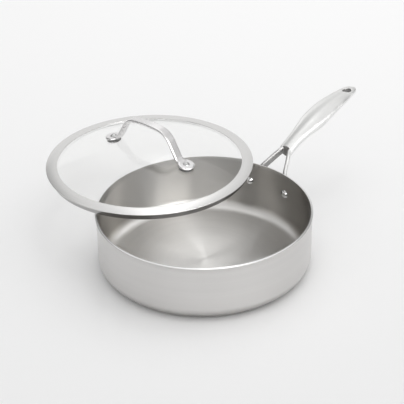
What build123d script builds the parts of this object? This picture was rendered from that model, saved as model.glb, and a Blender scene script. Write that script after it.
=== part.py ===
"""Straight-sided saute pan with a forked cast handle, and its domed glass lid laid across the rim."""
import math
import os

from build123d import *

# Pan body: three bonded metal layers, drawn to a straight wall with a slightly flared rim.
pan_height = 70.0
wall_outer_radius = 123.0
base_corner_radius = 16.0
rim_flare = 1.0
rim_flare_height = 6.0
outer_skin_thickness = 0.5
core_thickness = 1.6
inner_skin_thickness = 0.5
rim_edge_round = 0.2

# Two rivets hold the stick handle to the wall, one through each leg of its fork.
rivet_spacing = 54.4
rivet_drop = 25.0
rivet_shank_radius = 3.0
rivet_head_radius = 5.6
rivet_head_height = 3.0
rivet_tail_radius = 5.4
rivet_tail_height = 2.0
rivet_tail_round = 0.9
rivet_fit = 0.03

# Stick handle: pads on the wall, two thin legs, then one rounded grip that rises and flattens out.
handle_length = 177.0
fork_length = 32.5
crotch_rise = 15.3
handle_rise = 26.7
handle_width = 29.6
handle_thickness = 15.6
leg_width = 4.4
leg_height = 9.0
leg_root_width = 9.0
leg_top_drop = 2.5
leg_inset = 0.6
leg_corner = 2.1
pad_width = 18.0
pad_height = 25.0
pad_thickness = 4.6
pad_corner = 7.5
pad_edge_round = 1.4
pad_wall_gap = 0.05
hanging_hole_radius = 5.5
hanging_hole_inset = 16.5

# Lid: a domed tempered glass disc held in a folded steel band with a skirt that drops into the pan.
lid_overhang = 0.2
lid_fit_clearance = 0.6
lid_rest_gap = 0.3
lid_shift = 117.4
lid_shift_angle = 73.4
band_sheet = 0.7
band_edge_height = 1.0
band_width = 13.5
band_slope_angle = 7.0
band_edge_round = 0.4
skirt_depth = 7.6
skirt_lip_width = 5.4
glass_thickness = 4.0
glass_gap = 0.1
dome_rise = 26.7

# Lid handle: one flat bar bent to an arch, with a round foot at each end.
foot_radius = 10.2
foot_thickness = 2.4
foot_bevel = 0.9
arch_height = 37.2
arch_foot_inset = 10.0
arch_foot_round = 9.0
strap_width = 11.7
strap_thickness = 3.6
strap_corner = 1.5
strap_end_clearance = 0.5
# Where the feet stand, as a share of the lid's radius, and the arch's level part, its rise in the
# middle, its bends and its crown, each as a share of the length before it.
foot_reach_share = 0.4646
arch_top_share = 0.526
arch_crown_share = 0.128
arch_bend_share = 0.717
crown_round_share = 0.55

# Each foot is riveted through the glass between silicone and steel washers.
lid_rivet_shank_radius = 2.5
lid_rivet_head_radius = 4.2
lid_rivet_head_height = 2.2
lid_rivet_tail_radius = 4.4
lid_rivet_tail_height = 1.6
lid_rivet_fit = 0.03
grommet_flange_radius = 9.4
grommet_flange_thickness = 0.8
grommet_sleeve_radius = 4.6
grommet_fit = 0.05
seal_washer_radius = 8.4
seal_washer_thickness = 1.2
seal_seat_clearance = 0.02
backing_washer_radius = 7.4
backing_washer_thickness = 1.0

# One overrun serves every cut that has to pass right through.
cut_overrun = 5.0

# Sizes that follow from the ones above.
wall_thickness = outer_skin_thickness + core_thickness + inner_skin_thickness
wall_inner_radius = wall_outer_radius - wall_thickness
rim_outer_radius = wall_outer_radius + rim_flare
flare_angle = 2 * math.atan(rim_flare / rim_flare_height)
flare_radius = rim_flare_height / math.sin(flare_angle)
flare_start = pan_height - (flare_radius + wall_thickness) * math.sin(flare_angle)
rivet_height = pan_height - rivet_drop
rivet_angle = math.degrees(math.asin(rivet_spacing / 2 / wall_outer_radius))
tip_x = wall_outer_radius + handle_length
crotch_x = wall_outer_radius + fork_length
crotch_z = pan_height + crotch_rise
hole_x = tip_x - hanging_hole_inset
lid_outer_radius = rim_outer_radius + lid_overhang
skirt_radius = wall_inner_radius - lid_fit_clearance
lid_base_z = pan_height + lid_rest_gap
lid_x = lid_shift * math.cos(math.radians(lid_shift_angle))
lid_y = lid_shift * math.sin(math.radians(lid_shift_angle))
band_slope = math.tan(math.radians(band_slope_angle))
band_edge_top = skirt_depth + band_edge_height
foot_reach = foot_reach_share * lid_outer_radius
glass_radius = skirt_radius - band_sheet - glass_gap
lid_place = Pos(lid_x, lid_y, lid_base_z)

# Grip sections: place along the grip, rise of its top, width and thickness, as shares of the
# crotch-to-tip length, handle_rise, handle_width and handle_thickness.
grip_shares = [
    (0.000, -0.011, 0.574, 0.846),
    (0.066, 0.152, 0.581, 0.846),
    (0.128, 0.285, 0.598, 0.846),
    (0.253, 0.521, 0.753, 0.872),
    (0.398, 0.742, 0.959, 1.000),
    (0.488, 0.824, 1.000, 0.872),
    (0.564, 0.880, 0.997, 0.699),
    (0.647, 0.929, 0.946, 0.603),
    (0.730, 0.963, 0.865, 0.551),
    (0.869, 1.000, 0.672, 0.474),
    (0.945, 1.000, 0.514, 0.423),
    (0.983, 0.963, 0.324, 0.321),
    (1.000, 0.925, 0.135, 0.192),
]
# Shape of each grip section: shoulder width and drop, widest level, keel width and rise.
shoulder_width_share = 0.72
shoulder_drop_share = 0.13
widest_drop_share = 0.46
keel_width_share = 0.66
keel_rise_share = 0.15

# Leg centre line from the grip to the pad, as shares of the way in X, Y and Z, and how far the
# leg has widened towards its root there.
leg_shares = [
    (-0.135, -0.056, -0.036, 0.0),
    (0.075, 0.037, 0.030, 0.0),
    (0.327, 0.223, 0.204, 0.0),
    (0.568, 0.381, 0.369, 0.0),
    (0.766, 0.540, 0.535, 0.2),
    (0.880, 0.758, 0.745, 0.6),
]


def wall_line(depth):
    """Edges of the pan's section at one depth below its outer face, from the axis to the rim."""
    floor_edge = wall_outer_radius - base_corner_radius
    corner = CenterArc((floor_edge, base_corner_radius), base_corner_radius - depth, -90, 90)
    bend = flare_radius + depth
    turn = math.degrees(flare_angle)
    flare = CenterArc((wall_outer_radius + flare_radius, flare_start), bend, 180, -turn)
    return [
        Line((0, depth), corner @ 0),
        corner,
        Line(corner @ 1, flare @ 0),
        flare,
    ]


def turned(edges):
    """Solid of revolution about Z from closed section edges drawn as (radius, height)."""
    return revolve(Plane.XZ * make_face(Curve() + edges), Axis.Z)


def rivet_axis(side):
    """Plane on the pan's axis whose normal runs out through the wall along one handle rivet."""
    turn = math.radians(side * rivet_angle)
    level = (-math.sin(turn), math.cos(turn), 0)
    return Plane(origin=(0, 0, rivet_height), x_dir=level, z_dir=(math.cos(turn), math.sin(turn), 0))


def bored_along_rivets(solid):
    """The solid with a clearance hole for each handle rivet."""
    reach = wall_outer_radius + fork_length
    for side in (-1, 1):
        hole = Cylinder(rivet_shank_radius + rivet_fit, reach, align=(Align.CENTER, Align.CENTER, Align.MIN))
        solid = solid - rivet_axis(side) * hole
    return solid


def pan_layer(outer_depth, inner_depth, stretch=slice(None)):
    """One bonded layer of the pan between two depths below its outer face, or one stretch of it."""
    outer = wall_line(outer_depth)[stretch]
    inner = wall_line(inner_depth)[stretch]
    last = Line(outer[-1] @ 1, inner[-1] @ 1)
    first = Line(outer[0] @ 0, inner[0] @ 0)
    return turned(outer + inner + [last, first])


def rim_edge(solid, pick):
    """The outermost or innermost circle of a layer's rim."""
    circles = solid.edges().filter_by(GeomType.CIRCLE).filter_by(lambda e: e.is_closed)
    return pick(circles.filter_by(lambda e: e.center().Z > flare_start + rim_flare), key=lambda e: e.radius)


def pan_outer_floor():
    """Flat base of the outer stainless layer."""
    return pan_layer(0, outer_skin_thickness, slice(0, 1))


def pan_outer_corner():
    """Rounded corner of the outer stainless layer."""
    return pan_layer(0, outer_skin_thickness, slice(1, 2))


def pan_outer_wall():
    """Wall of the outer stainless layer with a softened rim corner."""
    skin = pan_layer(0, outer_skin_thickness, slice(2, None))
    return bored_along_rivets(fillet(rim_edge(skin, max), rim_edge_round))


def pan_core():
    """Aluminium layer between the two skins."""
    return bored_along_rivets(pan_layer(outer_skin_thickness, outer_skin_thickness + core_thickness))


def pan_inner_skin():
    """Inner stainless cooking surface with a softened rim corner."""
    skin = pan_layer(wall_thickness - inner_skin_thickness, wall_thickness)
    return bored_along_rivets(fillet(rim_edge(skin, min), rim_edge_round))


def handle_rivet(side):
    """Solid rivet: domed head inside the pan, shank through wall and pad, flat tail outside."""
    head_base = wall_inner_radius
    tail_base = wall_outer_radius + pad_wall_gap + pad_thickness
    dome_radius = (rivet_head_radius ** 2 + rivet_head_height ** 2) / (2 * rivet_head_height)
    centre = head_base - rivet_head_height + dome_radius
    dome = Pos(0, 0, centre) * Sphere(dome_radius)
    inside = Cylinder(head_base, 2 * pan_height)
    outward = (Align.CENTER, Align.CENTER, Align.MIN)
    skirt = Pos(0, 0, head_base - rivet_head_height) * Cylinder(rivet_head_radius, 2 * rivet_head_height, align=outward)
    head = (rivet_axis(side) * (dome & skirt)) & inside
    tail = Pos(0, 0, tail_base) * Cylinder(rivet_tail_radius, rivet_tail_height, align=outward)
    tail = fillet(tail.edges().sort_by(Axis.Z)[-1], rivet_tail_round)
    start = head_base - rivet_head_height / 2
    shank = Pos(0, 0, start) * Cylinder(rivet_shank_radius, tail_base - start, align=outward)
    return head + rivet_axis(side) * (shank + tail)


def grip_section(along, rise, width, thickness):
    """Rounded section of the grip on a plane across the handle."""
    x = crotch_x + along * (tip_x - crotch_x)
    half = width * handle_width / 2
    deep = thickness * handle_thickness
    top = crotch_z + rise * handle_rise
    side = top - widest_drop_share * deep
    shoulder = top - shoulder_drop_share * deep
    keel = top - deep
    chine = keel + keel_rise_share * deep
    out, into = shoulder_width_share * half, keel_width_share * half
    upper = Spline(
        (-half, side), (-out, shoulder), (0, top), (out, shoulder), (half, side), tangents=[(0, 1), (0, -1)]
    )
    lower = Spline(
        (half, side), (into, chine), (0, keel), (-into, chine), (-half, side), tangents=[(0, -1), (0, 1)]
    )
    plane = Plane(origin=(x, 0, 0), x_dir=(0, 1, 0), z_dir=(1, 0, 0))
    return plane * make_face(Curve() + [upper, lower])


def leg_points(side):
    """Centre points of one fork leg, from inside the grip down to its pad."""
    start_y = grip_shares[0][2] * handle_width / 2 - leg_width / 2 - leg_inset
    start = Vector(crotch_x, side * start_y, crotch_z - leg_top_drop - leg_height / 2)
    radius = wall_outer_radius + pad_thickness / 2
    angle = math.radians(side * rivet_angle)
    end = Vector(radius * math.cos(angle), radius * math.sin(angle), rivet_height)
    way = end - start
    return [
        (start + Vector(way.X * sx, way.Y * sy, way.Z * sz), grown) for sx, sy, sz, grown in leg_shares
    ]


def fork_leg(side):
    """One thin leg of the fork, lofted along its centre points and widening at the root."""
    points = leg_points(side)
    sections = []
    for i, (point, grown) in enumerate(points):
        before = points[max(i - 1, 0)][0]
        after = points[min(i + 1, len(points) - 1)][0]
        along = (after - before).normalized()
        level = Vector(0, 0, 1).cross(along).normalized()
        width = leg_width + grown * (leg_root_width - leg_width)
        plane = Plane(origin=point, x_dir=level, z_dir=along)
        sections.append(plane * RectangleRounded(width, leg_height, leg_corner))
    return loft(sections)


def wall_pad(side):
    """Pad that the leg ends in, seated on the curved wall."""
    blank = extrude(RectangleRounded(pad_width, pad_height, pad_corner), pad_thickness + wall_thickness)
    blank = fillet(blank.faces().sort_by(Axis.Z)[-1].edges(), pad_edge_round)
    return rivet_axis(side) * Pos(0, 0, wall_inner_radius + pad_wall_gap) * blank


def stick_handle():
    """Cast handle: grip, two legs and two wall pads in one piece, with its hanging hole."""
    body = loft([grip_section(*row) for row in grip_shares])
    for side in (-1, 1):
        body = body + fork_leg(side) + wall_pad(side)
    wall = Cylinder(wall_outer_radius + pad_wall_gap, 2 * pan_height, align=(Align.CENTER, Align.CENTER, Align.MIN))
    hole = Pos(hole_x, 0, 0) * Cylinder(
        hanging_hole_radius, 2 * (crotch_z + handle_rise), align=(Align.CENTER, Align.CENTER, Align.MIN)
    )
    return bored_along_rivets(body - wall - hole)


def dome_radius_at_shoulder():
    """Radius of the glass's spherical top face and the height of its rim point."""
    rim_r = lid_outer_radius - band_width
    rim_z = band_edge_top + band_width * band_slope - band_sheet - glass_gap
    rise = dome_rise - rim_z
    return (rim_r ** 2 + rise ** 2) / (2 * rise), rim_r, rim_z


def glass_top(radius):
    """Height of the glass's top face above the lid's base plane."""
    ball = dome_radius_at_shoulder()[0]
    return dome_rise - ball + math.sqrt(ball ** 2 - radius ** 2)


def foot_plane(side):
    """Plane on the glass's top face at one foot, with its normal square to the glass."""
    ball = dome_radius_at_shoulder()[0]
    tilt = math.asin(foot_reach / ball)
    origin = (0, side * foot_reach, glass_top(foot_reach))
    normal = (0, side * math.sin(tilt), math.cos(tilt))
    return Plane(origin=origin, x_dir=(1, 0, 0), z_dir=normal)


def at_foot(side, shape):
    """A piece drawn round a foot's rivet axis, moved to that foot of the lid."""
    return lid_place * (foot_plane(side) * shape)


def lid_glass():
    """Domed tempered glass, flat-flanged at its edge, with one hole for each foot."""
    ball, rim_r, rim_z = dome_radius_at_shoulder()
    edge_z = rim_z - (glass_radius - rim_r) * band_slope
    top = ThreePointArc((0, dome_rise), (rim_r / 2, glass_top(rim_r / 2)), (rim_r, rim_z))
    low_ball = ball - glass_thickness
    low_centre = dome_rise - ball
    low_r = rim_r * low_ball / ball
    low_z = low_centre + math.sqrt(low_ball ** 2 - low_r ** 2)
    mid_z = low_centre + math.sqrt(low_ball ** 2 - (low_r / 2) ** 2)
    bottom = ThreePointArc((0, dome_rise - glass_thickness), (low_r / 2, mid_z), (low_r, low_z))
    foot_z = edge_z - glass_thickness
    section = [
        top,
        Line((rim_r, rim_z), (glass_radius, edge_z)),
        Line((glass_radius, edge_z), (glass_radius, foot_z)),
        Line((glass_radius, foot_z), (low_r, low_z)),
        bottom,
        Line((0, dome_rise), (0, dome_rise - glass_thickness)),
    ]
    glass = turned(section)
    for side in (-1, 1):
        hole = Cylinder(grommet_sleeve_radius + grommet_fit, 2 * (glass_thickness + cut_overrun))
        glass = glass - foot_plane(side) * hole
    return lid_place * glass


def lid_band():
    """Folded steel band: sloping top leaf, closed outer edge, skirt and a lip under the glass."""
    inner_r = lid_outer_radius - band_width
    inner_top = band_edge_top + band_width * band_slope
    skirt_inner = skirt_radius - band_sheet
    leaf_at_skirt = band_edge_top + (lid_outer_radius - skirt_inner) * band_slope - band_sheet
    lip_r = skirt_radius - skirt_lip_width
    glass_low = leaf_at_skirt - glass_gap - glass_thickness
    lip_z = glass_low + (skirt_inner - lip_r) * band_slope - glass_gap
    points = [
        (inner_r, inner_top),
        (lid_outer_radius, band_edge_top),
        (lid_outer_radius, skirt_depth),
        (skirt_radius, skirt_depth),
        (skirt_radius, 0),
        (skirt_inner - band_sheet, 0),
        (lip_r - band_sheet, lip_z),
        (lip_r, lip_z),
        (skirt_inner, band_sheet),
        (skirt_inner, leaf_at_skirt),
        (inner_r, inner_top - band_sheet),
    ]
    section = make_face(Polyline(*points, close=True))
    outer = section.vertices().group_by(Axis.X)[-1]
    section = fillet(outer, band_edge_round)
    return lid_place * revolve(Plane.XZ * section, Axis.Z)


def in_foot(side, inset):
    """Point in the middle of a foot's thickness, moved in from its rivet towards the lid's middle."""
    return foot_plane(side).from_local_coords((0, -side * inset, grommet_flange_thickness + foot_thickness / 2))


def strap_path():
    """Centre line of the arch in the plane across the lid, from foot to foot."""
    top = glass_top(foot_reach) + grommet_flange_thickness + foot_thickness + arch_height - strap_thickness / 2
    bend_y = arch_top_share * foot_reach
    crown = arch_crown_share * bend_y
    bend_radius = arch_bend_share * bend_y
    crown_radius = crown_round_share * bend_y ** 2 / crown
    end_inset = lid_rivet_head_radius + strap_end_clearance
    points = [
        in_foot(-1, end_inset),
        in_foot(-1, arch_foot_inset),
        (0, -bend_y, top - crown),
        (0, 0, top),
        (0, bend_y, top - crown),
        in_foot(1, arch_foot_inset),
        in_foot(1, end_inset),
    ]
    radii = [arch_foot_round, bend_radius, crown_radius, bend_radius, arch_foot_round]
    return FilletPolyline(*points, radius=radii)


def lid_handle():
    """Arched bar with a round bevelled foot at each end, bored for the rivets."""
    path = strap_path()
    start = Plane(origin=path @ 0, x_dir=(1, 0, 0), z_dir=path % 0)
    handle = sweep(start * RectangleRounded(strap_width, strap_thickness, strap_corner), path=path)
    for side in (-1, 1):
        disc = Pos(0, 0, grommet_flange_thickness) * Cylinder(
            foot_radius, foot_thickness, align=(Align.CENTER, Align.CENTER, Align.MIN)
        )
        disc = chamfer(disc.edges().sort_by(Axis.Z)[-1], foot_bevel)
        below = Pos(0, 0, grommet_flange_thickness) * Cylinder(
            2 * foot_radius, foot_thickness, align=(Align.CENTER, Align.CENTER, Align.MAX)
        )
        hole = Cylinder(lid_rivet_shank_radius + lid_rivet_fit, 2 * (foot_thickness + cut_overrun))
        handle = handle + foot_plane(side) * disc - foot_plane(side) * (below + hole)
    return lid_place * handle


def ring(outer, inner, low, high):
    """Flat ring between two heights along its axis."""
    align = (Align.CENTER, Align.CENTER, Align.MIN)
    return Pos(0, 0, low) * (Cylinder(outer, high - low, align=align) - Cylinder(inner, high - low, align=align))


def lid_grommet(side):
    """Silicone bush: a flange under the foot and a sleeve through the glass."""
    bore = lid_rivet_shank_radius + lid_rivet_fit
    flange = ring(grommet_flange_radius, bore, 0, grommet_flange_thickness)
    sleeve = ring(grommet_sleeve_radius, bore, -glass_thickness, 0)
    return at_foot(side, flange + sleeve)


def seal_top():
    """Level of the seal washer's flat top, just clear of the curved glass at its edge."""
    under_ball = dome_radius_at_shoulder()[0] - glass_thickness
    return -glass_thickness - seal_washer_radius ** 2 / (2 * under_ball) - seal_seat_clearance


def lid_seal_washer(side):
    """Silicone washer against the underside of the glass."""
    bore = lid_rivet_shank_radius + lid_rivet_fit
    top = seal_top()
    return at_foot(side, ring(seal_washer_radius, bore, top - seal_washer_thickness, top))


def lid_backing_washer(side):
    """Steel washer that spreads the rivet's load on the silicone."""
    bore = lid_rivet_shank_radius + lid_rivet_fit
    top = seal_top() - seal_washer_thickness
    return at_foot(side, ring(backing_washer_radius, bore, top - backing_washer_thickness, top))


def lid_rivet(side):
    """Rivet through foot, glass and washers, domed on top and peened flat below."""
    head_base = grommet_flange_thickness + foot_thickness
    tail_top = seal_top() - seal_washer_thickness - backing_washer_thickness
    ball = (lid_rivet_head_radius ** 2 + lid_rivet_head_height ** 2) / (2 * lid_rivet_head_height)
    align = (Align.CENTER, Align.CENTER, Align.MIN)
    dome = Pos(0, 0, head_base + lid_rivet_head_height - ball) * Sphere(ball)
    head = dome & Pos(0, 0, head_base) * Cylinder(lid_rivet_head_radius, lid_rivet_head_height, align=align)
    shank = Pos(0, 0, tail_top) * Cylinder(lid_rivet_shank_radius, head_base - tail_top, align=align)
    tail_low = tail_top - lid_rivet_tail_height
    tail = Pos(0, 0, tail_low) * Cylinder(lid_rivet_tail_radius, lid_rivet_tail_height, align=align)
    tail = chamfer(tail.edges().sort_by(Axis.Z)[0], lid_rivet_tail_height / 2)
    return at_foot(side, head + shank + tail)


def main():
    """Write one STEP file for each piece."""
    os.makedirs("parts", exist_ok=True)
    pieces = {
        "pan_outer_floor": pan_outer_floor(),
        "pan_outer_corner": pan_outer_corner(),
        "pan_outer_wall": pan_outer_wall(),
        "pan_core": pan_core(),
        "pan_inner_skin": pan_inner_skin(),
        "stick_handle": stick_handle(),
        "lid_glass": lid_glass(),
        "lid_band": lid_band(),
        "lid_handle": lid_handle(),
    }
    for side, name in ((-1, "right"), (1, "left")):
        pieces["handle_rivet_" + name] = handle_rivet(side)
    for side, name in ((-1, "front"), (1, "back")):
        pieces["lid_rivet_" + name] = lid_rivet(side)
        pieces["lid_grommet_" + name] = lid_grommet(side)
        pieces["lid_seal_washer_" + name] = lid_seal_washer(side)
        pieces["lid_backing_washer_" + name] = lid_backing_washer(side)
    for name, solid in pieces.items():
        export_step(solid, "parts/" + name + ".step")


main()
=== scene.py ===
import math

import bmesh
import bpy
from mathutils import Matrix, Vector


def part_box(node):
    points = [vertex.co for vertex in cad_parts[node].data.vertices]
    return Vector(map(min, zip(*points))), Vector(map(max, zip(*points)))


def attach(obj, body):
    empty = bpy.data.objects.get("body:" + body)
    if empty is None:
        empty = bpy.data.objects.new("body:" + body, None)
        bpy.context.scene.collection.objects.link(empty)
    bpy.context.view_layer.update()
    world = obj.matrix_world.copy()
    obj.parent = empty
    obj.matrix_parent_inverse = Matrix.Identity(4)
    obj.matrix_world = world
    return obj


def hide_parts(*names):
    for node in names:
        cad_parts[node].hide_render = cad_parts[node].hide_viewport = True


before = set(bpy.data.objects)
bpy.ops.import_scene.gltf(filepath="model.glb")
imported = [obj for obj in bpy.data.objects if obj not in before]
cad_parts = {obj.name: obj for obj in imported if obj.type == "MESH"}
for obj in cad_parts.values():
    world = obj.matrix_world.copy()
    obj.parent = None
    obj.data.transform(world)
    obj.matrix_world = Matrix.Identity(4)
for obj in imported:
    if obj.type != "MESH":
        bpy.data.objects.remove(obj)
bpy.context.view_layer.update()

MM = 0.001

# The pan's section, as in the CAD model.
PAN_HEIGHT = 70 * MM
WALL_RADIUS = 123 * MM
BASE_CORNER = 16 * MM
RIM_FLARE = 1 * MM
RIM_FLARE_HEIGHT = 6 * MM
OUTER_SKIN = 0.5 * MM
CORE = 1.6 * MM
INNER_SKIN = 0.5 * MM
WALL = OUTER_SKIN + CORE + INNER_SKIN
PAN_AXIS = (0, 0)

# The lid's band and glass, as in the CAD model. Heights are above the skirt's edge, which is at LID_BASE.
LID_GAP = 0.3 * MM
BAND_OVERHANG = 0.2 * MM
SKIRT_PLAY = 0.6 * MM
LID_BASE = PAN_HEIGHT + LID_GAP
LID_RADIUS = WALL_RADIUS + RIM_FLARE + BAND_OVERHANG
SKIRT_RADIUS = WALL_RADIUS - WALL - SKIRT_PLAY
SKIRT_DEPTH = 7.6 * MM
SKIRT_LIP = 5.4 * MM
BAND_SHEET = 0.7 * MM
BAND_EDGE = 1 * MM
BAND_WIDTH = 13.5 * MM
BAND_SLOPE = math.tan(math.radians(7))
LID_TOP = SKIRT_DEPTH + BAND_EDGE
GLASS = 4 * MM
GLASS_GAP = 0.1 * MM
DOME_RISE = 26.7 * MM
FOOT_REACH = 57.7 * MM
GLASS_HOLE = 4.65 * MM
LID_CENTRE = sum((Vector(corner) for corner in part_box("lid_glass")), Vector()) / 2
LID_AXIS = (LID_CENTRE.x, LID_CENTRE.y)

# How far from the pan's axis the fork's crotch and the hanging hole lie.
CROTCH_REACH = 157.5 * MM
HOLE_REACH = 283.5 * MM
HOLE_RADIUS = 5.5 * MM

# Rounds on edges that are sharp in the CAD model.
RIM_ROUND = 0.25 * MM
BAND_ROUND = 0.35 * MM
GLASS_ROUND = 1.2 * MM
CORNER_SHARE = 0.45

# How finely the meshes are made.
TURNS = 256
ARC_STEPS = 40
FLARE_STEPS = 10
RIM_STEPS = 4
CORNER_STEPS = 5
HOLE_SIDES = 48
HOLE_CUTTER = 6 * GLASS
GRIP_VOXEL = 0.55 * MM
ARCH_VOXEL = 0.35 * MM
SOFTENING, SOFTENING_PASSES = 0.5, 8
SAME_POINT = 0.002 * MM
CREASE = math.radians(35)
GLASS_CREASE = math.radians(40)

# Turned steel: its scratches' noise and how far they lighten and darken it.
FINE_SCRATCHES = {"across": 900.0, "along": 0.5, "detail": 4.0, "roughness": 0.6}
BROAD_SCRATCHES = {"across": 110.0, "along": 0.15, "detail": 3.0, "roughness": 0.5}
FINE_CONTRAST, BROAD_CONTRAST = (0.99, 1.01), (0.985, 1.015)
NEAREST_AXIS = 0.5 * MM
QUARTER_TURN = 0.25

# Other noises: scale per metre, detail and roughness. Their values lie mostly between low and high.
POLISH = (900.0, 3.0, 0.6)
CASTING = (60.0, 2.0, 0.5)
GLASS_WAVES = (14.0, 1.0, 0.4)
SPECKLE = (1800.0, 3.0, 0.6)
NOISE_LOW, NOISE_HIGH = 0.3, 0.7

# Cast steel: contrasts, and where painted shade darkens the stick handle inside its fork and hanging hole.
POLISH_CONTRAST, CASTING_CONTRAST = (0.97, 1.02), (0.98, 1.02)
GLOSS_SPREAD = 0.15
POLISH_DEPTH = 0.04 * MM
# Colour of the painted shade inside the fork and the hanging hole.
RECESS_SHADE = (0.33, 0.325, 0.32, 1)
FORK_LIMITS = (CROTCH_REACH, CROTCH_REACH + 2 * MM)
INWARD_LIMITS = (0.45, 0.75)
HOLE_LIMITS = (HOLE_RADIUS + 0.3 * MM, HOLE_RADIUS + 1 * MM)
LYING_LIMITS = (0.5, 0.8)

# The photographer's camera: turned from +Y, above the horizon, with a slight roll.
VIEW_AZIMUTH = -49.6
VIEW_ELEVATION = 30.6
VIEW_ROLL = -1.15
VIEW_DISTANCE = 1.5
VIEW_AIM = Vector((10.52, 11.71, 70.0)) * MM
LENS = 116.33
SENSOR = 36
CLIP_NEAR, CLIP_FAR = 0.05, 50

# The studio that metal mirrors. Its limits are parts of a unit direction: to the camera's right, away from it
# and up.
BACK_WHITE = 0.88
BACK_START = (0.10, 0.35)
BACK_HALF_WIDTH = (0.14, 0.44)
BACK_FOOT = (-0.35, -0.05)
BACK_WIDENING = 0.50
WIDENING_TOP = (0.25, 0.45)
WIDENING_START = (0.55, 0.80)
COLUMN_WHITE = 0.9
COLUMN_HALF_WIDTH = (0.0, 0.12)
COLUMN_FOOT = (0.50, 0.62)
FRONT_WHITE = 0.78
FRONT_END = (-0.15, 0.35)
FRONT_LEFT = (-0.80, -0.45)
LOW_FRONT_WHITE = 2.5
LOW_FRONT_END = (-0.50, -0.15)
LOW_FRONT_TOP = (0.35, 0.65)
SIDE_WHITE = 0.85
SIDE_START = (0.35, 0.65)
SIDE_FOOT = (0.10, 0.35)
SIDE_END = (0.25, 0.50)
CEILING_WHITE = 0.90
CEILING_FOOT = (0.58, 0.72)
DIM_LOW, DIM_HIGH = 0.03, 0.30
DIM_RISE = (0.10, 0.45)
SPOT_AIM = (0.54, -0.75, 0.38)
SPOT_LIMITS = (0.91, 0.99)
SPOT_WHITE = 3.6

# The world's light on dull surfaces, the backdrop, the lamps and the floor.
ROOM_LIGHT = 0.73
BACKDROP = (0.9, 0.9, 0.9, 1)
LAMP_AWAY = 0.6
LAMP_HEIGHT = 1.9
LAMP_AIM = Vector((0, 0, 0.05))
KEY_ASIDE, STREAK_ASIDE = 0.45, 0.22
FLOOR_HALF_SIZE = 6
FLOOR_DROP = 0.2 * MM
FLOOR_NEAR, FLOOR_FAR = -0.35, 1.1
FLOOR_SHADES = (0.90, 0.99)


def link(obj):
    bpy.context.scene.collection.objects.link(obj)
    return obj


def arc(centre, radius, start, end, steps=ARC_STEPS):
    """Points on an arc in the section plane, with its angles in degrees."""
    angles = [math.radians(start + (end - start) * i / steps) for i in range(steps + 1)]
    return [(centre[0] + radius * math.cos(a), centre[1] + radius * math.sin(a)) for a in angles]


def bend(first, corner, last, steps):
    """Points of a small round between two ends, pulled towards the corner."""
    shares = [step / steps for step in range(steps + 1)]
    return [tuple(first * (1 - t) ** 2 + corner * 2 * t * (1 - t) + last * t ** 2) for t in shares]


def rounded(points, radius):
    """The closed outline with each corner rounded, by less where its sides are short."""
    out = []
    for i, corner in enumerate(points):
        here, before, after = Vector(corner), Vector(points[i - 1]), Vector(points[(i + 1) % len(points)])
        to_before, to_after = before - here, after - here
        half = to_before.angle(to_after) / 2
        cut = min(radius / math.tan(half), CORNER_SHARE * to_before.length, CORNER_SHARE * to_after.length)
        first, last = here + to_before.normalized() * cut, here + to_after.normalized() * cut
        out += bend(first, here, last, CORNER_STEPS)
    return out


def lathe(name, outline, centre):
    """Closed solid of revolution round a vertical axis, from a closed outline of (radius, height) points."""
    form = bmesh.new()
    turns = [2 * math.pi * i / TURNS for i in range(TURNS)]
    compass = [(math.cos(turn), math.sin(turn)) for turn in turns]
    x, y = centre
    rings = []
    for radius, height in outline:
        if radius < SAME_POINT:
            rings.append([form.verts.new((x, y, height))] * TURNS)
        else:
            rings.append([form.verts.new((x + radius * cos, y + radius * sin, height)) for cos, sin in compass])
    for k, ring in enumerate(rings):
        other = rings[(k + 1) % len(rings)]
        for i in range(TURNS):
            j = (i + 1) % TURNS
            corners = list(dict.fromkeys((ring[i], ring[j], other[j], other[i])))
            if len(corners) > 2:
                form.faces.new(corners)
    bmesh.ops.recalc_face_normals(form, faces=form.faces)
    mesh = bpy.data.meshes.new(name)
    form.to_mesh(mesh)
    form.free()
    smooth(mesh, CREASE)
    return link(bpy.data.objects.new(name, mesh))


def smooth(mesh, crease):
    """Smooth shading, but for edges sharper than the crease angle."""
    mesh.shade_smooth()
    mesh.set_sharp_from_angle(angle=crease)


def dress(piece, body, node, material):
    """The piece rides on its body in place of a CAD node and material."""
    piece.data.materials.clear()
    piece.data.materials.append(material)
    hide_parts(node)
    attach(piece, body)


def apply_modifiers(piece):
    """Turns the piece's modifiers into mesh."""
    bpy.context.view_layer.update()
    graph = bpy.context.evaluated_depsgraph_get()
    mesh = bpy.data.meshes.new_from_object(piece.evaluated_get(graph))
    piece.modifiers.clear()
    piece.data = mesh


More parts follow.
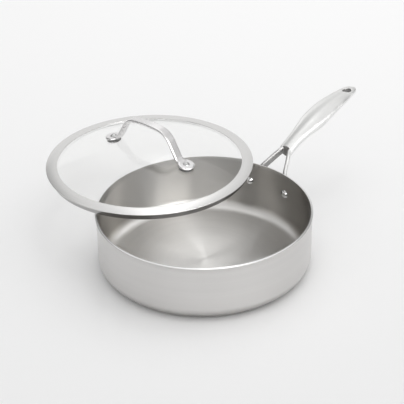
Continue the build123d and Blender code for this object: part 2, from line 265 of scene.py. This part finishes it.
class Tree:
    """A material's or the world's node tree, with short calls for adding nodes."""

    def __init__(self, owner):
        owner.use_nodes = True
        self.tree = owner.node_tree
        self.tree.nodes.clear()

    def fill(self, node, sockets):
        """Links each named input to an output, or gives it a plain value."""
        for socket, source in sockets.items():
            if isinstance(source, bpy.types.NodeSocket):
                self.tree.links.new(source, node.inputs[socket])
            else:
                node.inputs[socket].default_value = source

    def add(self, kind, sockets=None, **settings):
        node = self.tree.nodes.new(kind)
        for key, value in settings.items():
            setattr(node, key, value)
        self.fill(node, sockets or {})
        return node

    def coordinate(self, kind):
        return self.add("ShaderNodeTexCoord").outputs[kind]

    def vector(self, x, y, z):
        return self.add("ShaderNodeCombineXYZ", {0: x, 1: y, 2: z}).outputs[0]

    def parts(self, vector):
        return self.add("ShaderNodeSeparateXYZ", {0: vector}).outputs

    def colour(self, red, green, blue):
        return self.add("ShaderNodeCombineColor", {0: red, 1: green, 2: blue}).outputs[0]

    def math(self, operation, a, b=0.0):
        return self.add("ShaderNodeMath", {0: a, 1: b}, operation=operation).outputs[0]

    def product(self, first, *others):
        for other in others:
            first = self.math("MULTIPLY", first, other)
        return first

    def largest(self, first, *others):
        for other in others:
            first = self.math("MAXIMUM", first, other)
        return first

    def along(self, parts, heading):
        """How far a point or direction reaches along a level heading."""
        return self.math("ADD", self.product(parts[0], heading.x), self.product(parts[1], heading.y))

    def distance(self, x, y):
        return self.math("SQRT", self.math("ADD", self.product(x, x), self.product(y, y)))

    def range(self, value, limits, ends, kind="LINEAR"):
        """The value's place between two limits, as a number between two ends."""
        node = self.add("ShaderNodeMapRange", {"Value": value}, interpolation_type=kind)
        self.fill(node, {"From Min": limits[0], "From Max": limits[1], "To Min": ends[0], "To Max": ends[1]})
        return node.outputs["Result"]

    def rise(self, value, limits, top=1.0):
        return self.range(value, limits, (0.0, top), "SMOOTHSTEP")

    def fall(self, value, limits, top=1.0):
        return self.range(value, limits, (top, 0.0), "SMOOTHSTEP")

    def noise(self, vector, scale, detail, roughness, w=None):
        """Noise in space, or in space and one more direction w."""
        sockets = {"Vector": vector, "Scale": scale, "Detail": detail, "Roughness": roughness}
        if w is not None:
            sockets["W"] = w
        kind = "3D" if w is None else "4D"
        return self.add("ShaderNodeTexNoise", sockets, noise_dimensions=kind).outputs["Fac"]

    def vary(self, noise, ends):
        """Noise spread over a range."""
        return self.range(noise, (NOISE_LOW, NOISE_HIGH), ends)

    def mix(self, factor, a, b, blend="MIX"):
        node = self.add("ShaderNodeMix", {0: factor, 6: a, 7: b}, data_type="RGBA", blend_type=blend)
        return node.outputs[2]


def material(name):
    mat = bpy.data.materials.new(name)
    tree = Tree(mat)
    bsdf = tree.add("ShaderNodeBsdfPrincipled")
    tree.add("ShaderNodeOutputMaterial", {"Surface": bsdf.outputs[0]})
    return mat, tree, bsdf


def scratches(tree, axis, across, along, detail, roughness):
    """Noise of scratches that run round a vertical axis: fine across them, long along them."""
    place = tree.parts(tree.coordinate("Object"))
    x = tree.math("SUBTRACT", place[0], axis[0])
    y = tree.math("SUBTRACT", place[1], axis[1])
    radius = tree.distance(x, y)
    safe = tree.largest(radius, NEAREST_AXIS)
    cos, sin = tree.math("DIVIDE", x, safe), tree.math("DIVIDE", y, safe)
    vector = tree.vector(tree.product(radius, across), tree.product(cos, along), tree.product(sin, along))
    return tree.noise(vector, 1.0, detail, roughness, tree.product(place[2], across))


def turned_steel(name, axis, low, high, change, roughness, anisotropy):
    """Steel finished by turning: scratches run round the axis, so highlights spread into cones.

    Its colour goes from low to high over the change, two heights; where the two differ, this is painted light
    and shade on one steel.
    """
    mat, tree, bsdf = material(name)
    fine = scratches(tree, axis, **FINE_SCRATCHES)
    broad = scratches(tree, axis, **BROAD_SCRATCHES)
    tint = tree.product(tree.vary(fine, FINE_CONTRAST), tree.vary(broad, BROAD_CONTRAST))
    height = tree.parts(tree.coordinate("Object"))[2]
    # Painted light and shade: the colour changes with height, the metal does not.
    plain = tree.mix(tree.rise(height, change), (*low, 1), (*high, 1))
    tangent = tree.add("ShaderNodeTangent", direction_type="RADIAL", axis="Z")
    tree.fill(bsdf, {
        "Base Color": tree.mix(1.0, plain, tree.colour(tint, tint, tint), "MULTIPLY"),
        "Metallic": 1.0,
        "Roughness": roughness,
        "Anisotropic": anisotropy,
        "Anisotropic Rotation": QUARTER_TURN,
        "Tangent": tangent.outputs[0],
    })
    return mat


def recess_shade_mask(tree):
    """Mask of the faces inside the fork and the hanging hole, where shade is painted: 1 there, 0 elsewhere."""
    place = tree.parts(tree.coordinate("Object"))
    facing = tree.parts(tree.coordinate("Normal"))
    inward = tree.product(facing[1], tree.math("SIGN", place[1]), -1.0)
    to_pan = tree.product(facing[0], -1.0)
    turned_in = tree.rise(tree.largest(inward, to_pan), INWARD_LIMITS)
    fork = tree.product(tree.fall(place[0], FORK_LIMITS), turned_in)
    from_hole = tree.distance(tree.math("SUBTRACT", place[0], HOLE_REACH), place[1])
    standing = tree.fall(tree.math("ABSOLUTE", facing[2]), LYING_LIMITS)
    return tree.largest(fork, tree.product(tree.fall(from_hole, HOLE_LIMITS), standing))


def cast_steel(name, colour, roughness, depth, stretch=(1.0, 1.0, 1.0), shade_recesses=False):
    """Cast and polished steel: even, with a faint directional polish and soft unevenness.

    The stick handle's has painted shade, a darker colour, on the faces inside its fork and hanging hole.
    """
    mat, tree, bsdf = material(name)
    place = tree.coordinate("Object")
    stretched = tree.add("ShaderNodeMapping", {"Vector": place, "Scale": stretch}).outputs[0]
    polish = tree.noise(stretched, *POLISH)
    uneven = tree.noise(place, *CASTING)
    tint = tree.product(tree.vary(polish, POLISH_CONTRAST), tree.vary(uneven, CASTING_CONTRAST))
    grey = tree.colour(*(tree.product(tint, part) for part in colour))
    if shade_recesses:
        # Painted shade: a darker colour on the faces inside the fork and the hanging hole.
        grey = tree.mix(recess_shade_mask(tree), grey, RECESS_SHADE)
    bump = tree.add("ShaderNodeBump", {"Strength": depth, "Distance": POLISH_DEPTH, "Height": polish})
    tree.fill(bsdf, {
        "Base Color": grey,
        "Metallic": 1.0,
        "Roughness": tree.vary(uneven, (roughness * (1 - GLOSS_SPREAD), roughness * (1 + GLOSS_SPREAD))),
        "Normal": bump.outputs[0],
    })
    return mat


def clear_glass():
    """Clear tempered glass, a little uneven."""
    mat, tree, bsdf = material("clear_glass")
    waves = tree.noise(tree.coordinate("Object"), *GLASS_WAVES)
    bump = tree.add("ShaderNodeBump", {"Strength": 0.04, "Distance": 0.3 * MM, "Height": waves})
    tree.fill(bsdf, {
        "Base Color": (0.99, 0.99, 0.985, 1),
        "Roughness": 0.0,
        "IOR": 1.46,
        "Normal": bump.outputs[0],
        "Transmission Weight": 1.0,
    })
    return mat


def silicone():
    """Matt translucent grey silicone."""
    mat, tree, bsdf = material("silicone")
    speckle = tree.noise(tree.coordinate("Object"), *SPECKLE)
    tree.fill(bsdf, {
        "Base Color": tree.mix(tree.vary(speckle, (0.0, 1.0)), (0.33, 0.33, 0.33, 1), (0.42, 0.42, 0.42, 1)),
        "Roughness": tree.vary(speckle, (0.45, 0.6)),
        "Transmission Weight": 0.15,
    })
    return mat


def wall_line(depth):
    """Section points of the pan at one depth below its outer face: floor, corner and wall."""
    floor_edge = WALL_RADIUS - BASE_CORNER
    turn = 2 * math.atan(RIM_FLARE / RIM_FLARE_HEIGHT)
    flare_radius = RIM_FLARE_HEIGHT / math.sin(turn)
    flare_start = PAN_HEIGHT - (flare_radius + WALL) * math.sin(turn)
    corner = arc((floor_edge, BASE_CORNER), BASE_CORNER - depth, -90, 0)
    flare_centre = (WALL_RADIUS + flare_radius, flare_start)
    flare = arc(flare_centre, flare_radius + depth, 180, 180 - math.degrees(turn), FLARE_STEPS)
    return [(0.0, depth), corner[0]], corner, [corner[-1]] + flare


def between(outer, inner, outer_round=0.0, inner_round=0.0):
    """Closed outline between two section lines, with the rim's two corners rounded."""
    top_out, top_in = Vector(outer[-1]), Vector(inner[-1])
    across = (top_in - top_out).normalized()
    down = (Vector(outer[-2]) - top_out).normalized()
    rim_out, rim_in = [outer[-1]], [inner[-1]]
    if outer_round:
        rim_out = bend(top_out + down * outer_round, top_out, top_out + across * outer_round, RIM_STEPS)
    if inner_round:
        rim_in = bend(top_in - across * inner_round, top_in, top_in + down * inner_round, RIM_STEPS)
    return outer[:-1] + rim_out + rim_in + inner[:-1][::-1]


def make_pan():
    """The pan's three bonded layers; the outer one is in three stretches."""
    # Painted shade: the outside's colour is darker near the base, where it mirrors the shadowed floor beside
    # the pan.
    outside = turned_steel(
        "outer_brushed_steel", PAN_AXIS, low=(0.38, 0.37, 0.36), high=(0.65, 0.64, 0.63),
        change=(0.0, 16 * MM), roughness=0.30, anisotropy=0.55,
    )
    # Painted light and shade: the inside's floor is lighter and its wall darker, though both are one steel.
    inside = turned_steel(
        "inner_brushed_steel", PAN_AXIS, low=(0.74, 0.73, 0.715), high=(0.41, 0.398, 0.38),
        change=(3 * MM, 15 * MM), roughness=0.28, anisotropy=0.97,
    )
    middle = turned_steel(
        "core_aluminium", PAN_AXIS, low=(0.85, 0.85, 0.85), high=(0.85, 0.85, 0.85),
        change=(0.0, PAN_HEIGHT), roughness=0.30, anisotropy=0.3,
    )
    lines = [wall_line(depth) for depth in (0, OUTER_SKIN, OUTER_SKIN + CORE, WALL)]
    for k, name in enumerate(("floor", "corner", "wall")):
        outline = between(lines[0][k], lines[1][k], RIM_ROUND if name == "wall" else 0.0)
        piece = lathe("pan_outer_" + name + "_turned", outline, PAN_AXIS)
        dress(piece, "pan", "pan_outer_" + name, outside)
    whole = [floor + corner[1:] + wall[1:] for floor, corner, wall in lines]
    core = lathe("pan_core_turned", between(whole[1], whole[2]), PAN_AXIS)
    dress(core, "pan", "pan_core", middle)
    inner = lathe("pan_inner_skin_turned", between(whole[2], whole[3], 0.0, RIM_ROUND), PAN_AXIS)
    dress(inner, "pan", "pan_inner_skin", inside)


def cast_copy(node, voxel):
    """A CAD piece remade as one even skin, with its edges softened as in a polished casting."""
    piece = link(bpy.data.objects.new(node + "_cast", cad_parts[node].data.copy()))
    form = bmesh.new()
    form.from_mesh(piece.data)
    bmesh.ops.remove_doubles(form, verts=form.verts, dist=SAME_POINT)
    form.to_mesh(piece.data)
    form.free()
    remesh = piece.modifiers.new("even_skin", "REMESH")
    remesh.mode = "VOXEL"
    remesh.voxel_size = voxel
    soften = piece.modifiers.new("softened", "SMOOTH")
    soften.factor = SOFTENING
    soften.iterations = SOFTENING_PASSES
    apply_modifiers(piece)
    piece.data.shade_smooth()
    return piece


def make_handles():
    """Stick handle and lid handle, both cast and polished."""
    # The grip's steel has painted shade inside its fork and hanging hole.
    grip = cast_steel(
        "polished_cast_steel", colour=(0.81, 0.81, 0.80), roughness=0.50, depth=0.02,
        stretch=(0.12, 1.0, 1.0), shade_recesses=True,
    )
    arch = cast_steel("polished_arch_steel", colour=(0.80, 0.79, 0.79), roughness=0.26, depth=0.08)
    dress(cast_copy("stick_handle", GRIP_VOXEL), "pan", "stick_handle", grip)
    dress(cast_copy("lid_handle", ARCH_VOXEL), "lid", "lid_handle", arch)


def band_outline():
    """Section of the lid's band, above the skirt's edge."""
    inner = LID_RADIUS - BAND_WIDTH
    inner_top = LID_TOP + BAND_WIDTH * BAND_SLOPE
    skirt_inner = SKIRT_RADIUS - BAND_SHEET
    leaf = LID_TOP + (LID_RADIUS - skirt_inner) * BAND_SLOPE - BAND_SHEET
    lip = SKIRT_RADIUS - SKIRT_LIP
    lip_z = leaf - GLASS - 2 * GLASS_GAP + (skirt_inner - lip) * BAND_SLOPE
    return [
        (inner, inner_top),
        (LID_RADIUS, LID_TOP),
        (LID_RADIUS, SKIRT_DEPTH),
        (SKIRT_RADIUS, SKIRT_DEPTH),
        (SKIRT_RADIUS, 0),
        (skirt_inner - BAND_SHEET, 0),
        (lip - BAND_SHEET, lip_z),
        (lip, lip_z),
        (skirt_inner, BAND_SHEET),
        (skirt_inner, leaf),
        (inner, inner_top - BAND_SHEET),
    ]


def glass_outline():
    """Section of the domed glass, above the skirt's edge, and the radius of its ball."""
    edge = SKIRT_RADIUS - BAND_SHEET - GLASS_GAP
    rim = LID_RADIUS - BAND_WIDTH
    rim_z = LID_TOP + BAND_WIDTH * BAND_SLOPE - BAND_SHEET - GLASS_GAP
    edge_z = rim_z - (edge - rim) * BAND_SLOPE
    rise = DOME_RISE - rim_z
    ball = (rim ** 2 + rise ** 2) / (2 * rise)
    centre = (0, DOME_RISE - ball)
    lean = math.degrees(math.asin(rim / ball))
    dome = arc(centre, ball, 90, 90 - lean)
    under = arc(centre, ball - GLASS, 90 - lean, 90)
    dome[0], under[-1] = (0.0, DOME_RISE), (0.0, DOME_RISE - GLASS)
    flange = rounded([(edge, edge_z), (edge, edge_z - GLASS), under[0], dome[-1]], GLASS_ROUND)
    outer_corners = 2 * (CORNER_STEPS + 1)
    return dome + flange[:outer_corners] + under, ball


def lifted(outline):
    return [(radius, height + LID_BASE) for radius, height in outline]


def cut_hole(glass, ball, side):
    """Cuts the hole for one foot's bush, square to the dome."""
    form = bmesh.new()
    bmesh.ops.create_cone(
        form, cap_ends=True, segments=HOLE_SIDES, radius1=GLASS_HOLE, radius2=GLASS_HOLE, depth=HOLE_CUTTER
    )
    mesh = bpy.data.meshes.new("hole_cutter")
    form.to_mesh(mesh)
    form.free()
    cutter = link(bpy.data.objects.new("hole_cutter", mesh))
    cutter.matrix_world = (
        Matrix.Translation((*LID_AXIS, LID_BASE + DOME_RISE - ball))
        @ Matrix.Rotation(-side * math.asin(FOOT_REACH / ball), 4, "X") @ Matrix.Translation((0, 0, ball))
    )
    cut = glass.modifiers.new("hole", "BOOLEAN")
    cut.object = cutter
    cut.operation = "DIFFERENCE"
    cut.solver = "EXACT"
    apply_modifiers(glass)
    bpy.data.objects.remove(cutter)


def make_lid():
    """Glass with its two holes, and the band round it."""
    # Painted shade: the band is darker below its top edge, on the skirt under the overhang.
    polished = turned_steel(
        "polished_band_steel", LID_AXIS, low=(0.42, 0.415, 0.41), high=(0.75, 0.745, 0.735),
        change=(76.5 * MM, 78.2 * MM), roughness=0.18, anisotropy=0.3,
    )
    band = lathe("lid_band_turned", lifted(rounded(band_outline(), BAND_ROUND)), LID_AXIS)
    dress(band, "lid", "lid_band", polished)
    outline, ball = glass_outline()
    glass = lathe("lid_glass_dome", lifted(outline), LID_AXIS)
    for side in (-1, 1):
        cut_hole(glass, ball, side)
    smooth(glass.data, GLASS_CREASE)
    dress(glass, "lid", "lid_glass", clear_glass())
    glass.visible_shadow = False


def finish_small_parts():
    """Rivets, bushes and washers keep their CAD meshes, with even shading and their own finishes."""
    polished = cast_steel("polished_rivet_steel", colour=(0.60, 0.60, 0.595), roughness=0.14, depth=0.1)
    plain = cast_steel("plain_washer_steel", colour=(0.66, 0.66, 0.66), roughness=0.35, depth=0.2)
    rubber = silicone()
    finishes = {
        "handle_rivet": polished, "lid_rivet": polished,
        "lid_grommet": rubber, "lid_seal_washer": rubber, "lid_backing_washer": plain,
    }
    for name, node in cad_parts.items():
        finish = finishes.get(name.rsplit("_", 1)[0])
        if finish:
            node.data.materials.clear()
            node.data.materials.append(finish)
            smooth(node.data, CREASE)


def make_camera():
    """The photographer's camera; returns the level headings away from it and to its right."""
    data = bpy.data.cameras.new("camera")
    data.lens = LENS
    data.sensor_width = SENSOR
    data.clip_start = CLIP_NEAR
    data.clip_end = CLIP_FAR
    camera = link(bpy.data.objects.new("camera", data))
    turn, rise, roll = (math.radians(angle) for angle in (VIEW_AZIMUTH, VIEW_ELEVATION, VIEW_ROLL))
    ahead = Vector((-math.sin(turn), math.cos(turn), 0))
    level = Vector((math.cos(turn), math.sin(turn), 0))
    forward = ahead * math.cos(rise) - Vector((0, 0, math.sin(rise)))
    upright = level.cross(forward)
    right = level * math.cos(roll) + upright * math.sin(roll)
    up = upright * math.cos(roll) - level * math.sin(roll)
    place = VIEW_AIM - forward * VIEW_DISTANCE
    camera.matrix_world = Matrix((
        (right.x, up.x, -forward.x, place.x),
        (right.y, up.y, -forward.y, place.y),
        (right.z, up.z, -forward.z, place.z),
        (0, 0, 0, 1),
    ))
    bpy.context.scene.camera = camera
    return ahead, level


def make_floor(ahead):
    """Pale floor with painted light: a little brighter with distance from the camera, as in the photograph."""
    form = bmesh.new()
    bmesh.ops.create_grid(form, x_segments=1, y_segments=1, size=FLOOR_HALF_SIZE)
    mesh = bpy.data.meshes.new("floor")
    form.to_mesh(mesh)
    form.free()
    floor = link(bpy.data.objects.new("floor", mesh))
    floor.location.z = -FLOOR_DROP
    mat, tree, bsdf = material("pale_floor")
    away = tree.along(tree.parts(tree.coordinate("Object")), ahead)
    # Painted light: the floor's colour brightens away from the camera.
    shade = tree.range(away, (FLOOR_NEAR, FLOOR_FAR), FLOOR_SHADES)
    grey = tree.colour(shade, shade, shade)
    tree.fill(bsdf, {"Base Color": grey, "Roughness": 1.0, "Specular IOR Level": 0.0})
    mesh.materials.append(mat)


def back_panel(tree, right, away, up):
    """White behind the pan, wider near the floor, with a brighter column high up."""
    aside = tree.math("ABSOLUTE", right)
    wider = tree.product(tree.fall(up, WIDENING_TOP, BACK_WIDENING), tree.rise(away, WIDENING_START))
    past = tree.math("SUBTRACT", aside, wider)
    column = tree.product(tree.fall(aside, COLUMN_HALF_WIDTH, COLUMN_WHITE), tree.rise(up, COLUMN_FOOT))
    return tree.product(
        tree.rise(away, BACK_START), tree.fall(past, BACK_HALF_WIDTH), tree.rise(up, BACK_FOOT),
        tree.math("ADD", column, BACK_WHITE),
    )


def front_panel(tree, right, away, up):
    """White on the camera's side, but for its far left, and brighter low behind the camera."""
    low = tree.product(tree.fall(away, LOW_FRONT_END, LOW_FRONT_WHITE), tree.fall(up, LOW_FRONT_TOP))
    return tree.product(
        tree.fall(away, FRONT_END), tree.rise(right, FRONT_LEFT), tree.math("ADD", low, FRONT_WHITE)
    )


def side_panel(tree, right, away, up):
    """White to the right, above the floor."""
    return tree.product(
        tree.rise(right, SIDE_START, SIDE_WHITE), tree.rise(up, SIDE_FOOT), tree.fall(away, SIDE_END)
    )


def spot(tree, right, away, up):
    """Round glow to the right behind the camera."""
    ends = {0: tree.vector(right, away, up), 1: Vector(SPOT_AIM).normalized()}
    closeness = tree.add("ShaderNodeVectorMath", ends, operation="DOT_PRODUCT").outputs["Value"]
    return tree.rise(closeness, SPOT_LIMITS, SPOT_WHITE)


def make_world(ahead, level):
    """Even light for dull surfaces, a pale backdrop for the camera and a studio for metal to mirror."""
    world = bpy.data.worlds.new("studio")
    bpy.context.scene.world = world
    tree = Tree(world)
    way = tree.parts(tree.coordinate("Generated"))
    directions = (tree.along(way, level), tree.along(way, ahead), way[2])
    lit = tree.largest(
        front_panel(tree, *directions), back_panel(tree, *directions), side_panel(tree, *directions),
        tree.rise(way[2], CEILING_FOOT, CEILING_WHITE),
        tree.range(way[2], DIM_RISE, (DIM_LOW, DIM_HIGH), "SMOOTHSTEP"),
    )
    shine = tree.math("ADD", lit, spot(tree, *directions))
    path = tree.add("ShaderNodeLightPath").outputs
    plain = tree.add("ShaderNodeBackground", {"Color": (1, 1, 1, 1), "Strength": ROOM_LIGHT})
    studio = tree.add("ShaderNodeBackground", {"Color": tree.colour(shine, shine, shine), "Strength": 1.0})
    backdrop = tree.add("ShaderNodeBackground", {"Color": BACKDROP, "Strength": 1.0})
    mirrored = path["Is Glossy Ray"]
    unseen = tree.add("ShaderNodeMixShader", {0: mirrored, 1: plain.outputs[0], 2: studio.outputs[0]})
    seen = tree.largest(path["Is Camera Ray"], path["Is Transmission Ray"])
    whole = tree.add("ShaderNodeMixShader", {0: seen, 1: unseen.outputs[0], 2: backdrop.outputs[0]})
    tree.add("ShaderNodeOutputWorld", {"Surface": whole.outputs[0]})


def soft_light(name, place, size, power, mirrored):
    """Square soft box aimed at the pan, which metal reflects or not."""
    data = bpy.data.lights.new(name, "AREA")
    data.shape = "SQUARE"
    data.size = size
    data.energy = power
    light = link(bpy.data.objects.new(name, data))
    light.visible_glossy = mirrored
    light.location = place
    light.rotation_mode = "QUATERNION"
    light.rotation_quaternion = (LAMP_AIM - place).to_track_quat("-Z", "Y")


def make_lights(ahead, level):
    """A large soft box above and a little behind, and a small one for the streak on the pan's floor."""
    above = ahead * LAMP_AWAY + Vector((0, 0, LAMP_HEIGHT))
    soft_light("key", above + level * KEY_ASIDE, size=2.6, power=13.5, mirrored=False)
    soft_light("streak", above + level * STREAK_ASIDE, size=0.4, power=1.2, mirrored=True)


bpy.context.scene.view_settings.view_transform = "Standard"
ahead, level = make_camera()
make_world(ahead, level)
make_lights(ahead, level)
make_floor(ahead)
make_pan()
make_handles()
make_lid()
finish_small_parts()
